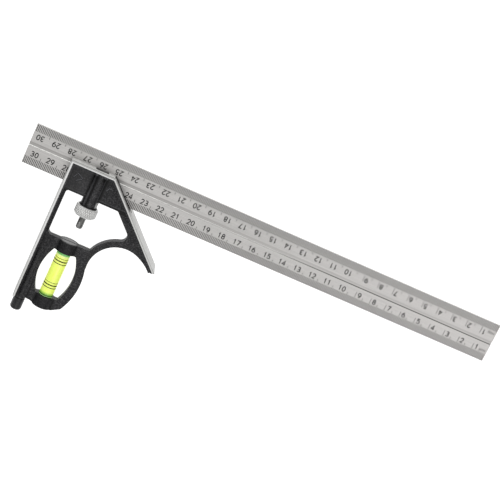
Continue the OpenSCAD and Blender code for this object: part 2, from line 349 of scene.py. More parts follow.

# Painted shade and painted highlights in the enamel, as streaks: the stretch of the head that each follows,
# the axis it crosses, its centre, its half width and its soft edge, in millimetres. Painted shade lies in the
# corners beside the bosses and the scriber's ridge, and painted highlights lie on their flanks.
PAINTED_SHADE_STREAKS = (
    ("clamp_boss", "x", BOLT_X - 4.45, 0.3, 0.5),
    ("clamp_boss", "x", BOLT_X + 4.5, 0.45, 0.6),
    # A painted dark reflection band down the clamp's boss, left of its middle
    ("clamp_boss", "x", BOLT_X - 1.75, 0.35, 0.9),
    ("across_clamp_boss", "y", BOSS_LOW, 0.5, 0.3),
    ("across_lower_seat", "y", SEAT_TOP + 0.1, 0.2, 0.3),
    ("lower_seat", "x", VIAL_X - 5.6, 0.25, 0.4),
    ("lower_seat", "x", VIAL_X + 5.6, 0.25, 0.4),
    ("ridge", "x", SCRIBER_X - 2.75, 0.35, 0.5),
    ("ridge_foot", "x", SCRIBER_X + 3.5, 0.25, 0.5),
    ("web_edge", "y", WINDOW_TOP, 1.0, 0.25),
)
PAINTED_HIGHLIGHT_STREAKS = (
    ("clamp_boss", "x", BOLT_X - 3.05, 0.25, 0.5),
    ("clamp_boss", "x", BOLT_X + 3.45, 0.2, 0.45),
    ("web_edge", "y", WINDOW_TOP + 1.45, 0.12, 0.25),
    ("lower_seat", "x", VIAL_X + 5.05, 0.15, 0.3),
    ("across_housing", "y", HEAD_LOW[1] + 0.35, 0.2, 0.25),
)


def face_depths(look):
    """How deep a point of the head lies behind its square, top and 45 degree faces, in metres."""
    x, y, _ = look.xyz()
    slant = look.math("SUBTRACT", MITRE_SUM * MM, look.math("ADD", x, y))
    return x, look.math("SUBTRACT", HEAD_HIGH[1] * MM, y), look.math("DIVIDE", slant, math.sqrt(2))


def painted_mask(look, mitre):
    """1 where shade is painted near black: on the notch in the top edge, and round the slot's mouth on the 45
    degree face.
    """
    x, y, z = look.xyz()
    notch = look.all_of(look.band(x, NOTCH_X, NOTCH_HALF + 0.3, 0.05),
                        look.above(y, NOTCH_FOOT - 0.1, NOTCH_FOOT),
                        look.below(z, NOTCH_TOP_Z + 0.8, NOTCH_TOP_Z + 0.9))
    mouth = look.all_of(look.below(mitre, MOUTH_DEPTH, MOUTH_DEPTH + 0.1),
                        look.above(y, MOUTH_FOOT - 0.2, MOUTH_FOOT),
                        look.below(z, MOUTH_TOP_Z, MOUTH_TOP_Z + 1))
    return look.most_of(notch, mouth)


def bare_mask(look, depths, painted_shade):
    """1 on the machined faces and on the bright lands beside them, with a ragged edge to the paint."""
    lands = (LAND_SQUARE, LAND_TOP, LAND_MITRE)
    near = look.least_of(*[look.math("DIVIDE", depth, land * MM) for depth, land in zip(depths, lands)])
    near = look.math("ADD", near, look.vary(look.noise(look.coords, 900, 2.0), -0.06, 0.06))
    return look.all_of(look.spread(near, 0.96, 1.04, 1.0, 0.0), look.math("SUBTRACT", 1.0, painted_shade))


def on_front(look):
    """1 on the front of the web and on what stands on it."""
    return look.above(look.xyz()[2], WEB_FRONT - 0.3, WEB_FRONT - 0.1)


def streaks(look, rows):
    """1 on the streaks that rows lists, where they lie on the head's front."""
    x, y, z = look.xyz()
    axes = {"x": x, "y": y}
    stretches = {
        "clamp_boss": look.above(y, BOSS_LOW - 0.5, BOSS_LOW),
        "across_clamp_boss": look.band(x, BOLT_X, BOSS_R, 0.5),
        "lower_seat": look.below(y, SEAT_TOP - 0.3, SEAT_TOP),
        "across_lower_seat": look.band(x, VIAL_X, SEAT_R, 0.5),
        "across_housing": look.below(x, HOUSING_RIGHT, HOUSING_RIGHT + 0.5),
        "ridge": look.below(y, *RIDGE_STREAK_ENDS),
        "ridge_foot": look.below(y, *FOOT_STREAK_ENDS),
        "web_edge": look.all_of(look.above(z, WEB_FRONT - 0.3, WEB_FRONT - 0.1),
                                look.below(z, WEB_FRONT + 0.1, WEB_FRONT + 0.2)),
    }
    total = look.most_of(*[look.all_of(look.band(axes[axis], centre, half, soft), stretches[where])
                           for where, axis, centre, half, soft in rows])
    return look.all_of(total, total, on_front(look))


def enamel_tone(look, grain, blotch, painted_shade):
    """Black enamel with grey specks, duller in blotches, with painted shade in its corners and creases and
    painted highlights on its flanks and edges.
    """
    x, y, _ = look.xyz()
    enamel = look.mix(look.spread(grain, 0.46, 0.72, 0.0, 1.0), (0.010, 0.010, 0.011), (0.125, 0.122, 0.126))
    enamel = look.mix(look.spread(blotch, 0.35, 0.65, 0.0, 0.4), enamel, (0.026, 0.026, 0.030))
    # Near black painted shade in the hook's notch and round the slot's mouth
    enamel = look.tint(enamel, (0.004, 0.004, 0.004), painted_shade)
    # Painted shade in the corners and creases, and painted highlights on the flanks and edges
    enamel = look.tint(enamel, BLACKEST, streaks(look, PAINTED_SHADE_STREAKS), 0.9)
    enamel = look.tint(enamel, (0.10, 0.10, 0.105), streaks(look, PAINTED_HIGHLIGHT_STREAKS), 0.55)
    # The vial's two seats are darker than the web, and the web's left end lighter
    seats = look.most_of(look.below(y, SEAT_TOP - 1, SEAT_TOP),
                         look.band(y, VIAL_BOSS_Y, VIAL_BOSS_HALF, 0.5))
    seats = look.all_of(seats, look.band(x, VIAL_X, VIAL_BOSS_R, 0.4), on_front(look))
    enamel = look.tint(enamel, (0.006, 0.006, 0.007), seats, 0.55)
    light_end = look.all_of(look.band(x, LIGHT_END_MIDDLE[0], LIGHT_END_HALF[0], 1.5),
                        look.band(y, LIGHT_END_MIDDLE[1], LIGHT_END_HALF[1], 1.0))
    enamel = look.tint(enamel, (0.09, 0.088, 0.09), light_end, 0.35)
    # A painted highlight runs down the right flank of the clamp's boss, below the web
    flank_highlight = look.all_of(look.band(x, BOLT_X + 4.05, 0.3, 0.15), look.above(y, BOSS_LOW + 0.5, BOSS_LOW + 0.8),
                       look.below(y, WINDOW_TOP - 0.5, WINDOW_TOP - 0.3))
    return look.tint(enamel, (0.62, 0.62, 0.60), flank_highlight, 0.85)


def ground_tone(look, lines, depths, on_rim, on_top):
    """Machined metal: crossed grinding lines, bright rims, a lapped top face and painted shade on the rounded
    edges.
    """
    _, _, z = look.xyz()
    _, top, mitre = depths
    cross = look.noise(look.stretched((1500, 1500, 150)), 1.0, 2.0, 0.5)
    ground = look.mix(look.vary(lines, 0.0, 1.0), (0.34, 0.34, 0.33), (0.60, 0.60, 0.585))
    ground = look.mix(look.spread(cross, 0.38, 0.72, 0.0, 0.7), ground, (0.42, 0.42, 0.41))
    ground = look.tint(ground, (0.97, 0.97, 0.96), on_rim, 0.85)
    on_mitre = look.below(look.math("SUBTRACT", mitre, top), -0.05, 0.05)
    ground = look.tint(ground, (0.70, 0.70, 0.68), look.all_of(on_mitre, on_rim), 0.75)
    lapped = look.mix(look.band(z, *LAPPED_LINE), (0.80, 0.80, 0.78), (0.36, 0.36, 0.35))
    ground = look.tint(ground, lapped, on_top, 0.85)
    depth = look.least_of(*depths)
    # Painted shade on the rounded edges of the machined faces
    edge_shade = look.all_of(look.above(depth, 0.02, 0.06),
                          look.below(depth, 0.9 * EDGE_ROUND, 1.2 * EDGE_ROUND))
    return look.tint(ground, (0.16, 0.16, 0.16), edge_shade, 0.7)


def head_look(name, rough, specular):
    """Black speckled enamel, with the three machined faces left bare."""
    look = Look(name, (0.02, 0.02, 0.022), rough, Specular_IOR_Level=specular)
    _, _, z = look.xyz()
    depths = face_depths(look)
    painted_shade = painted_mask(look, depths[2])
    bare = bare_mask(look, depths, painted_shade)
    on_rim = look.most_of(look.above(z, HEAD_HIGH[2] - 0.1, HEAD_HIGH[2] - 0.03), look.below(z, 0.03, 0.1))
    on_top = look.below(depths[1], 0.01, 0.03)
    grain = look.noise(look.coords, 1300, 3.0, 0.7)
    blotch = look.noise(look.coords, 420, 3.0)
    lines = look.noise(look.stretched((500, 500, 4000)), 1.0, 2.0, 0.5)

    enamel = enamel_tone(look, grain, blotch, painted_shade)
    look.put("Base Color", look.mix(bare, enamel, ground_tone(look, lines, depths, on_rim, on_top)))
    metal = look.spread(look.most_of(on_top, on_rim), 0.0, 1.0, 0.5, 0.1)
    look.put("Metallic", look.math("MULTIPLY", bare, metal))
    level = look.vary(blotch, rough - 0.06, rough + 0.06)
    look.put("Roughness", look.math("ADD", level, look.math("MULTIPLY", bare, GROUND_ROUGH - rough)))
    paint_height = look.math("MULTIPLY", look.math("SUBTRACT", 1.0, bare), grain)
    metal_height = look.math("MULTIPLY", bare, look.math("MULTIPLY", lines, 0.2))
    look.put("Normal", look.bump(look.math("ADD", paint_height, metal_height), 0.08, 0.6))
    return look.material


# ---------------------------------------------------------------- other materials
def steel_look(name, low, high, rough, along, depth=0.01):
    """Satin steel with fine lines that run along the axis of the smallest scale in along."""
    look = Look(name, high, rough, 1.0)
    lines = look.noise(look.stretched(along), 1.0, 3.0, 0.6)
    cloud = look.noise(look.coords, 45, 3.0)
    mixed = look.math("ADD", look.math("MULTIPLY", lines, 0.7), look.math("MULTIPLY", cloud, 0.3))
    look.put("Base Color", look.mix(look.spread(mixed, 0.32, 0.68, 0.0, 1.0), low, high))
    look.put("Roughness", look.vary(mixed, rough - SMOOTHER, rough + ROUGHER))
    look.put("Normal", look.bump(lines, depth, 0.4))
    return look.material


def dull_look(name, dark, light, rough, scale=900, depth=0.03, metallic=0.0, **sockets):
    """A fine-grained surface: plastic, rubber or dull cast metal."""
    look = Look(name, light, rough, metallic, **sockets)
    grain = look.noise(look.coords, scale, 3.0)
    look.put("Base Color", look.mix(look.vary(grain, 0.0, 1.0), dark, light))
    look.put("Roughness", look.vary(grain, rough - SMOOTHER, rough + ROUGHER))
    look.put("Normal", look.bump(grain, depth, 0.35))
    return look.material


def nut_look():
    """Bright plated steel, darker in patches in the grooves of the knurl."""
    look = Look("nut_bright", (0.9, 0.9, 0.88), 0.32, 0.2)
    x, y, z = look.xyz()
    squares = [look.math("MULTIPLY", off, off)
               for off in (look.math("SUBTRACT", x, BOLT_X * MM), look.math("SUBTRACT", z, MID_Z * MM))]
    radius = look.math("SQRT", look.math("ADD", *squares))
    knurled = look.all_of(look.below(radius, NUT_R - 0.36, NUT_R - 0.14),
                          look.above(y, NUT_LOW[1] + NUT_COLLAR, NUT_LOW[1] + NUT_COLLAR + 0.1),
                          look.below(y, NUT_HIGH[1] - 0.5, NUT_HIGH[1] - 0.4))
    wear = look.noise(look.coords, 260, 2.0)
    grain = look.noise(look.coords, 1500, 3.0)
    plate = look.mix(look.vary(grain, 0.0, 1.0), (0.90, 0.90, 0.88), (0.98, 0.98, 0.97))
    knurl_dark = look.math("MULTIPLY", knurled, look.spread(wear, 0.38, 0.6, 0.15, 0.75))
    look.put("Base Color", look.mix(knurl_dark, plate, (0.16, 0.16, 0.15)))
    look.put("Roughness", look.vary(grain, 0.26, 0.40))
    look.put("Normal", look.bump(grain, 0.01, 0.3))
    return look.material


# Stretches of the rule, in millimetres along X: where its steel is painted brighter towards the zero end as a
# painted sheen, where the painted shade in its groove thins out, and where the painted shade in the groove's
# lower corner begins
PAINTED_SHEEN = (120, 260)
SHADE_THINS = (60, 150)
CORNER_SHADE_BEGINS = (130, 170)


def blade_look():
    """Satin rule steel: fine lines along the rule, a painted sheen towards the zero end, painted shade in the
    groove, and a painted highlight in the groove's lower corner near the head that turns to painted shade
    further out.
    """
    look = Look("blade_satin", (0.58, 0.57, 0.55), 0.42, 0.75)
    x, y, z = look.xyz()
    lines = look.noise(look.stretched((25, 2500, 2500)), 1.0, 3.0, 0.6)
    cloud = look.noise(look.coords, 45, 3.0)
    grit = look.noise(look.coords, 1400, 2.0)
    mixed = look.math("ADD", look.math("MULTIPLY", lines, 0.6), look.math("MULTIPLY", cloud, 0.2))
    mixed = look.math("ADD", mixed, look.math("MULTIPLY", grit, 0.2))
    steel = look.mix(look.spread(mixed, 0.34, 0.66, 0.0, 1.0), (0.42, 0.412, 0.40), (0.60, 0.586, 0.572))
    # Painted sheen: the steel is painted brighter towards the zero end
    steel = look.tint(steel, (0.80, 0.77, 0.755), look.above(x, *PAINTED_SHEEN), 0.35)
    inside = look.all_of(look.below(z, BLADE_HIGH[2] - 0.12, BLADE_HIGH[2] - 0.04),
                         look.above(z, BLADE_LOW[2] + 0.1, BLADE_LOW[2] + 0.2))
    floor = look.math("MULTIPLY", inside, look.band(y, GROOVE_Y, 0.6 * GROOVE_W, 0.1))
    # Painted shade on the groove's floor, thinning out along the rule
    shade = look.spread(look.above(x, *SHADE_THINS), 0.0, 1.0, 0.85, 0.3)
    steel = look.mix(look.math("MULTIPLY", floor, shade), steel, (0.36, 0.35, 0.34))
    # The groove's lower corner carries a painted highlight near the head and painted shade further out
    corner = look.math("MULTIPLY", floor, look.band(y, GROOVE_Y - GROOVE_W / 2, 0.18, 0.12))
    corner_shaded = look.above(x, *CORNER_SHADE_BEGINS)
    tone = look.mix(corner_shaded, (1.0, 1.0, 0.98), (0.13, 0.13, 0.125))
    steel = look.mix(look.math("MULTIPLY", corner, look.spread(corner_shaded, 0.0, 1.0, 1.0, 0.8)), steel, tone)
    look.put("Base Color", steel)
    look.put("Roughness", look.vary(mixed, 0.36, 0.50))
    look.put("Normal", look.bump(lines, 0.01, 0.4))
    return look.material


def knob_look():
    """Black plastic, with painted shade in the corner under the housing."""
    look = Look("knob_black", (0.02, 0.02, 0.021), 0.4, Specular_IOR_Level=0.35)
    _, y, _ = look.xyz()
    grain = look.noise(look.coords, 1200, 3.0)
    black = look.mix(look.spread(grain, 0.35, 0.65, 0.0, 1.0), (0.012, 0.012, 0.013), (0.045, 0.045, 0.047))
    # Painted shade in the corner under the housing
    black = look.tint(black, BLACKEST, look.above(y, KNOB_TOP - 0.55, KNOB_TOP - 0.4), 0.9)
    look.put("Base Color", black)
    look.put("Roughness", look.vary(grain, 0.34, 0.48))
    look.put("Normal", look.bump(grain, 0.03, 0.4))
    return look.material


# Tones over the vial's length: where each one starts, where it is full, and its colour. The first two run
# up towards the bubble's end, the others down towards the vial's foot.
VIAL_TONES = (
    (-43.8, -42.8, (0.90, 0.98, 0.42)),
    (-42.5, -42.0, (0.22, 0.58, 0.18)),
    (-67.2, -68.2, (0.42, 0.70, 0.10)),
    (-68.3, -69.2, (0.05, 0.17, 0.02)),
    # A painted glint at the vial's foot
    (-69.6, -69.9, (0.55, 0.80, 0.40)),
)


def dyed_look(name, rough, see_through, painted_glow, **sockets):
    """The vial's bright yellow-green, greener towards its two ends, with a painted glint at its foot and a
    painted glow.
    """
    look = Look(name, (0.88, 0.97, 0.20), rough, Transmission_Weight=see_through, **sockets)
    _, y, _ = look.xyz()
    swirl = look.noise(look.stretched((500, 60, 500)), 1.0, 2.0)
    dye = look.mix(look.vary(swirl, 0.0, 1.0), (0.86, 0.97, 0.17), (0.92, 0.99, 0.27))
    for start, full, tone in VIAL_TONES:
        dye = look.mix(look.spread(y, start * MM, full * MM, 0.0, 1.0), dye, tone)
    look.put("Base Color", dye)
    # The emission is a painted glow
    look.put("Emission Color", dye)
    look.shader.inputs["Emission Strength"].default_value = painted_glow
    look.put("Roughness", look.vary(swirl, rough - 0.03, rough + 0.05))
    look.put("Normal", look.bump(swirl, 0.01, 0.15))
    return look.material


ENAMEL = head_look("head_enamel", 0.5, 0.25)
ENAMEL_GLOSS = head_look("head_enamel_smooth", 0.38, 0.28)
# The angle signs: strokes painted lighter as a highlight, feet painted dark as shade
MARK_HIGHLIGHT = dull_look("mark_enamel_highlight", (0.07, 0.07, 0.08), (0.16, 0.16, 0.18), 0.45, 900, 0.05)
MARK_SHADE = dull_look("mark_shade", (0.004, 0.004, 0.005), (0.012, 0.012, 0.014), 0.6, 900, 0.05)
BLADE_STEEL = blade_look()
NUT_STEEL = nut_look()
BOLT_STEEL = steel_look("bolt_grey", (0.20, 0.20, 0.195), (0.36, 0.36, 0.35), 0.38, (900, 300, 900), 0.02)
# The hook is painted near black as the shade in the notch that it sits in
HOOK_SHADE = dull_look("hook_painted_shade", (0.004, 0.004, 0.004), (0.012, 0.012, 0.012), 0.6, 1200, 0.02,
                      Specular_IOR_Level=0.2)
NEEDLE_STEEL = steel_look("needle_ground", (0.50, 0.50, 0.50), (0.68, 0.68, 0.67), 0.25, (2500, 60, 2500))
SLEEVE_BRASS = steel_look("sleeve_brass", (0.55, 0.40, 0.17), (0.72, 0.55, 0.27), 0.3, (1500, 100, 1500))
MARK_FILL = dull_look("mark_fill", (0.006, 0.006, 0.006), (0.018, 0.018, 0.018), 0.7, 3000, 0.01,
                      Specular_IOR_Level=0.15)
CUSHION_BLACK = dull_look("cushion_rubber", (0.012, 0.012, 0.013), (0.03, 0.03, 0.03), 0.6)
# The washer is painted near black as the shade line between the clamp's boss and the nut
WASHER_SHADE = dull_look("washer_painted_shade", (0.006, 0.006, 0.006), (0.02, 0.02, 0.02), 0.5, 1200, 0.02)
KNOB_BLACK = knob_look()
PLUG_GREEN = dull_look("plug_green", (0.05, 0.22, 0.05), (0.12, 0.36, 0.10), 0.35)
DISC_GREY = dull_look("disc_grey", (0.13, 0.13, 0.13), (0.23, 0.23, 0.23), 0.45, 1500, 0.05, 0.4)
LIQUID = dyed_look("vial_dye", 0.1, 0.2, 0.28, IOR=1.33)
TUBE = dyed_look("vial_acrylic", 0.12, 0.15, 0.26, IOR=1.45)


# ---------------------------------------------------------------- head
SLOT_HALF = 1.3
SLOT_FOOT = -1.0
# The head's bores: where each one's axis is, a radius just outside it, and the heights that it lies between
BORES = (
    (BOLT_X, 3.6, -math.inf, math.inf),
    (VIAL_X, 5.3, -45, -30),
    (VIAL_X, 4.6, -math.inf, math.inf),
    (SCRIBER_X, 2.3, -math.inf, math.inf),
)


def rounded_edge(edge):
    """True for the outside edges of the casting, false inside the slot and the bores."""
    points = [v.co / MM for v in edge.verts]
    in_slot = all(abs(p.z - MID_Z) < SLOT_HALF and p.y > SLOT_FOOT for p in points)
    in_bore = any(all(math.hypot(p.x - x, p.z - MID_Z) < radius and low < p.y < high for p in points)
                  for x, radius, low, high in BORES)
    return not in_slot and not in_bore


def on_boss(centre):
    """True on the round outsides of the clamp's boss and the scriber's ridge, which shine more."""
    rounds = ((BOLT_X, BOSS_R, BOSS_LOW, BOSS_HIGH), (SCRIBER_X, RIDGE_R, HEAD_LOW[1] - 0.4, RIDGE_TOP))
    return any(abs(math.hypot(centre.x - x, centre.z - MID_Z) - r) < 0.25 and low < centre.y < high
               for x, r, low, high in rounds)


def build_head():
    mesh = welded_copy("head_casting")
    bm = bmesh.new()
    bm.from_mesh(mesh)
    layer = bm.edges.layers.float.new("bevel_weight_edge")
    for edge in bm.edges:
        sharp = len(edge.link_faces) == 2 and edge.calc_face_angle(0) > math.radians(SHARP_ANGLE)
        if sharp and rounded_edge(edge):
            edge[layer] = 1.0
    bm.to_mesh(mesh)
    bm.free()
    head = add_object("head_body", mesh, ENAMEL, "head", SHARP_ANGLE)
    mesh.materials.append(ENAMEL_GLOSS)
    for face in mesh.polygons:
        if on_boss(face.center / MM):
            face.material_index = 1
    bevel = head.modifiers.new("rounded_edges", "BEVEL")
    bevel.limit_method = "WEIGHT"
    bevel.width = EDGE_ROUND * MM
    bevel.segments = 3
    bevel.use_clamp_overlap = True
    bevel.miter_outer = "MITER_ARC"
    bevel.harden_normals = False
    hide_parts("head_casting")


SIGN_RISE = 0.15
# Two plain cast angle signs on the front of the web, the left one with a short second stroke
SIGNS = (
    ((4.84, 4.55), (6.67, 7.71), (10.29, 5.77)),
    ((6.8, 3.06), (10.0, 5.24)),
    ((25.79, 4.54), (26.87, 6.63), (29.28, 6.52)),
)


def build_angle_marks():
    """Each sign is a raised stroke, painted lighter as a highlight, on a wider foot, which is set a little
    lower on the web and painted dark as shade.
    """
    for name, half, rise, shift, look in (("head_angle_marks", 0.21, SIGN_RISE, 0.12, MARK_HIGHLIGHT),
                                          ("head_angle_feet", 0.5, SIGN_RISE / 3, -0.1, MARK_SHADE)):
        verts, faces = [], []
        for points in SIGNS:
            placed = [(x, y + shift) for x, y in points]
            ribbon(verts, faces, placed, half, WEB_FRONT + rise, WEB_FRONT - SIGN_RISE)
        add_mesh(name, verts, faces, look, "head", smooth=0)


build_head()
build_angle_marks()


# ---------------------------------------------------------------- blade and its scale
# Figures: height, width, the gap between two of them, and half the width of their strokes
DIGIT_H, DIGIT_W, DIGIT_GAP, DIGIT_STROKE = 2.95, 1.95, 0.62, 0.28
# Every mark starts this far inside the blade's edge
EDGE_GAP = 0.12
# Metric scale: size of a tick, top of a 5 mm line, foot of the figures along the lower and the upper edge,
# how far the lower figures and the single figures stand aside, and half the width of the thin lines
TICK_L, TICK_W = 4.6, 0.37
HALF_TICK_L = 6.2
ROW_Y, UPPER_ROW_Y = 5.5, 6.1
LOWER_SHIFT = 0.65
SINGLE_ASIDE = 2.1
THIN_HALF = 0.13
# Short marks by the zero end: number, first place, spacing, half width, and the heights they lie between
ZERO_MARKS, ZERO_FIRST, ZERO_STEP, ZERO_HALF = 5, 1.6, 0.9, 0.16
ZERO_LOW, ZERO_HIGH = 5.6, 7.2
# Inch scale: length of a tick by how fine its division is, tick width, and the figures' place
INCH = 25.4
INCH_TICKS = {1: 9.0, 2: 6.6, 4: 5.4, 8: 4.2, 16: 3.0}
INCH_TICK_W = 0.22
INCH_ROW_Y = 6.2
INCH_ASIDE, INCH_ASIDE_TWO = 2.0, 3.4


def arc(cx, cy, rx, ry, start, end, steps=14):
    """Points on an ellipse from start to end, in degrees."""
    turn = [math.radians(start + (end - start) * i / steps) for i in range(steps + 1)]
    return [(cx + rx * math.cos(a), cy + ry * math.sin(a)) for a in turn]


def ring(cx, cy, rx, ry, steps=20):
    return arc(cx, cy, rx, ry, 0, 360, steps)[:-1]


SIX_BOWL = ring(0.5, 0.31, 0.44, 0.31)
SIX_BACK = arc(0.80, 0.33, 0.74, 0.67, 175, 97, 10)


def turned_over(points):
    return [(1 - u, 1 - v) for u, v in points]


# Each figure is a list of (points, closed) in a unit box
FIGURES = {
    "0": [(ring(0.5, 0.5, 0.44, 0.5, 24), True)],
    "1": [([(0.22, 0.76), (0.56, 1.0), (0.56, 0.0)], False)],
    "2": [(arc(0.5, 0.70, 0.42, 0.30, 165, -32) + [(0.06, 0.0), (0.95, 0.0)], False)],
    "3": [(arc(0.47, 0.75, 0.38, 0.25, 150, -90) + arc(0.47, 0.26, 0.45, 0.26, 88, -150), False)],
    "4": [([(0.98, 0.27), (0.03, 0.27), (0.72, 1.0), (0.72, 0.0)], False)],
    "5": [([(0.88, 1.0), (0.2, 1.0), (0.14, 0.52)] + arc(0.47, 0.33, 0.45, 0.33, 128, -148), False)],
    "6": [(SIX_BOWL, True), (SIX_BACK, False)],
    "7": [([(0.04, 1.0), (0.95, 1.0), (0.38, 0.0)], False)],
    "8": [(ring(0.5, 0.76, 0.35, 0.24), True), (ring(0.5, 0.26, 0.43, 0.26), True)],
    "9": [(turned_over(SIX_BOWL), True), (turned_over(SIX_BACK), False)],
}


class Scale:
    """One edge of one face of the blade. u runs along the blade, v in from the edge."""

    def __init__(self, verts, faces, zero_x, edge_y, along, inward, face_z, outward):
        self.verts, self.faces = verts, faces
        self.zero_x, self.edge_y = zero_x, edge_y
        self.along, self.inward = along, inward
        self.top, self.low = face_z + outward * MARK_PROUD, face_z - outward * MARK_SUNK

    def stroke(self, points, half_width, closed=False):
        placed = [(self.zero_x + self.along * u, self.edge_y + self.inward * v) for u, v in points]
        ribbon(self.verts, self.faces, placed, half_width, self.top, self.low, closed)

    def tick(self, u, length, width):
        self.stroke([(u, EDGE_GAP), (u, length)], width / 2)

    def number(self, value, u, v, facing):
        """value centred on u with its foot at v; facing +1 reads in the direction of growing u."""
        word = str(value)
        total = len(word) * DIGIT_W + (len(word) - 1) * DIGIT_GAP
        for i, figure in enumerate(word):
            start = i * (DIGIT_W + DIGIT_GAP) - total / 2
            for points, closed in FIGURES[figure]:
                placed = [(u + facing * (start + DIGIT_W * a), v + DIGIT_H * b) for a, b in points]
                self.stroke(placed, DIGIT_STROKE, closed)


def metric(scale, length, facing):
    """Millimetre ticks with a number at each centimetre, set a little differently on the two edges."""
    shift, row_y = (LOWER_SHIFT, ROW_Y) if facing < 0 else (0.0, UPPER_ROW_Y)
    for i in range(1, int(length) + 1):
        scale.tick(i, TICK_L, TICK_W)
        if i % 10 == 0:
            value = i // 10
            # A single figure stands beside its own thin line, a pair of figures stands over the tick
            aside = SINGLE_ASIDE + shift / 2 if value < 10 else shift
            if value < 10:
                scale.stroke([(i, TICK_L), (i, row_y + DIGIT_H)], THIN_HALF)
            scale.number(value, i - aside, row_y, facing)
        elif i % 5 == 0:
            scale.stroke([(i, TICK_L), (i, HALF_TICK_L)], THIN_HALF)
    for i in range(ZERO_MARKS):
        u = ZERO_FIRST + ZERO_STEP * i
        scale.stroke([(u, ZERO_LOW), (u, ZERO_HIGH)], ZERO_HALF)


def inches(scale, length, facing):
    """Sixteenths of an inch with a number at each inch."""
    step = INCH / 16
    for i in range(1, int(length / step)):
        division = 16 // math.gcd(i, 16)
        scale.tick(i * step, INCH_TICKS[division], INCH_TICK_W)
        if division == 1:
            aside = INCH_ASIDE if i < 160 else INCH_ASIDE_TWO
            scale.number(i // 16, i * step - aside, INCH_ROW_Y, facing)


def build_scales():
    """Centimetres on both edges of the front, inches on both edges of the back."""
    zero_x, far_x = BLADE_HIGH[0], BLADE_LOW[0]
    low_y, high_y = BLADE_LOW[1], BLADE_HIGH[1]
    length = zero_x - far_x
    for name, draw, face_z, outward in (
        ("blade_scale_front", metric, BLADE_HIGH[2], 1),
        ("blade_scale_back", inches, BLADE_LOW[2], -1),
    ):
        verts, faces = [], []
        # On the front zero is at the right end, on the back it is at the other end
        start, along = (zero_x, -1) if outward > 0 else (far_x, 1)
        lower = Scale(verts, faces, start, low_y, along, 1, face_z, outward)
        upper = Scale(verts, faces, start, high_y, along, -1, face_z, outward)
        # The lower edge's figures run against u, and the upper edge's are turned over to run with it
        draw(lower, length, -1)
        draw(upper, length, 1)
        add_mesh(name, verts, faces, MARK_FILL, "blade", smooth=0)


def build_blade():
    blade = add_object("blade_rule", welded_copy("blade"), BLADE_STEEL, "blade", SHARP_ANGLE)
    bevel = blade.modifiers.new("broken_edges", "BEVEL")
    bevel.limit_method = "ANGLE"
    bevel.width = BLADE_ROUND * MM
    bevel.segments = 2
    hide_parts("blade")


build_blade()
build_scales()


# ---------------------------------------------------------------- clamp nut and drawbolt
KNURL_STEPS = 8 * KNURL_COUNT
STUD_STEPS = 48
PITCH_ROWS = 10
HOOK_STEPS = 24
# The stud's profile is a closed ring, so a hair-thin bore of this radius is left on its axis
AXIS_GAP = 0.02


def saw(value):
    """A triangle wave, 0 at whole numbers and 1 half way between."""
    return 1 - abs(2 * (value % 1.0) - 1)


def build_nut():
    """The nut with its diamond knurl, a plain collar below and a chamfer at each end of the bore."""
    low, high = NUT_LOW[1], NUT_HIGH[1]
    band_low, band_high = low + NUT_COLLAR, high - 0.35
    rows = [band_low + (band_high - band_low) * i / KNURL_ROWS for i in range(KNURL_ROWS + 1)]
    profile = [(NUT_BORE + BORE_CHAMFER, low), (NUT_R - 1.0, low), (NUT_R - 0.45, band_low - 0.25)]
    first = len(profile)
    profile += [(NUT_R, y) for y in rows]
    last = len(profile) - 1
    profile += [(NUT_R - 0.25, high - 0.15), (NUT_R - 0.5, high), (NUT_BORE + BORE_CHAMFER, high)]
    profile += [(NUT_BORE, high - BORE_CHAMFER), (NUT_BORE, low + BORE_CHAMFER)]
    pitch_y = 2 * math.pi * NUT_R / KNURL_COUNT

    def ripple(angle, radius, y, index):
        if not first <= index <= last:
            return radius
        turn = angle / (2 * math.pi) * KNURL_COUNT
        rise = (y - band_low) / pitch_y * 0.5
        peak = min(saw(turn + rise), saw(turn - rise))
        edge = min(1.0, (index - first) / 2.0, (last - index) / 2.0)
        return radius - KNURL_DEPTH * (1 - min(1.0, peak * 1.8) * edge)

    verts, faces = turned(profile, (BOLT_X, MID_Z), KNURL_STEPS, ripple)
    nut = add_mesh("clamp_nut_knurled", verts, faces, NUT_STEEL, "clamp_nut", smooth=70.0)
    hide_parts("clamp_nut")


def build_stud():
    """The round body of the drawbolt below the blade, and the threaded stud under it."""
    low = BOLT_LOW[1]
    row = THREAD_PITCH / PITCH_ROWS
    profile = [(AXIS_GAP, low), (STUD_R - 0.55, low)]
    first = len(profile)
    profile += [(STUD_R, low + 0.12 + i * row) for i in range(int((STUD_TOP - 0.6 - low) / row))]
    last = len(profile) - 1
    profile += [(STUD_R, STUD_TOP - 0.05), (BOLT_R - 0.2, STUD_TOP), (BOLT_R, STUD_TOP + 0.2)]
    profile += [(BOLT_R, BOLT_BODY_TOP - 0.2), (BOLT_R - 0.2, BOLT_BODY_TOP), (AXIS_GAP, BOLT_BODY_TOP)]

    def ripple(angle, radius, y, index):
        if not first <= index <= last:
            return radius
        depth = 1 - min(1.0, saw(y / THREAD_PITCH - angle / (2 * math.pi)) * 1.25)
        lead = min(1.0, (index - first) / 8.0)
        runout = min(1.0, (last - index) / 20.0)
        return radius - THREAD_DEPTH * depth * runout - 0.4 * (1 - lead)

    verts, faces = turned(profile, (BOLT_X, MID_Z), STUD_STEPS, ripple)
    return add_mesh("drawbolt_stud", verts, faces, BOLT_STEEL, "clamp_bolt", smooth=50.0)


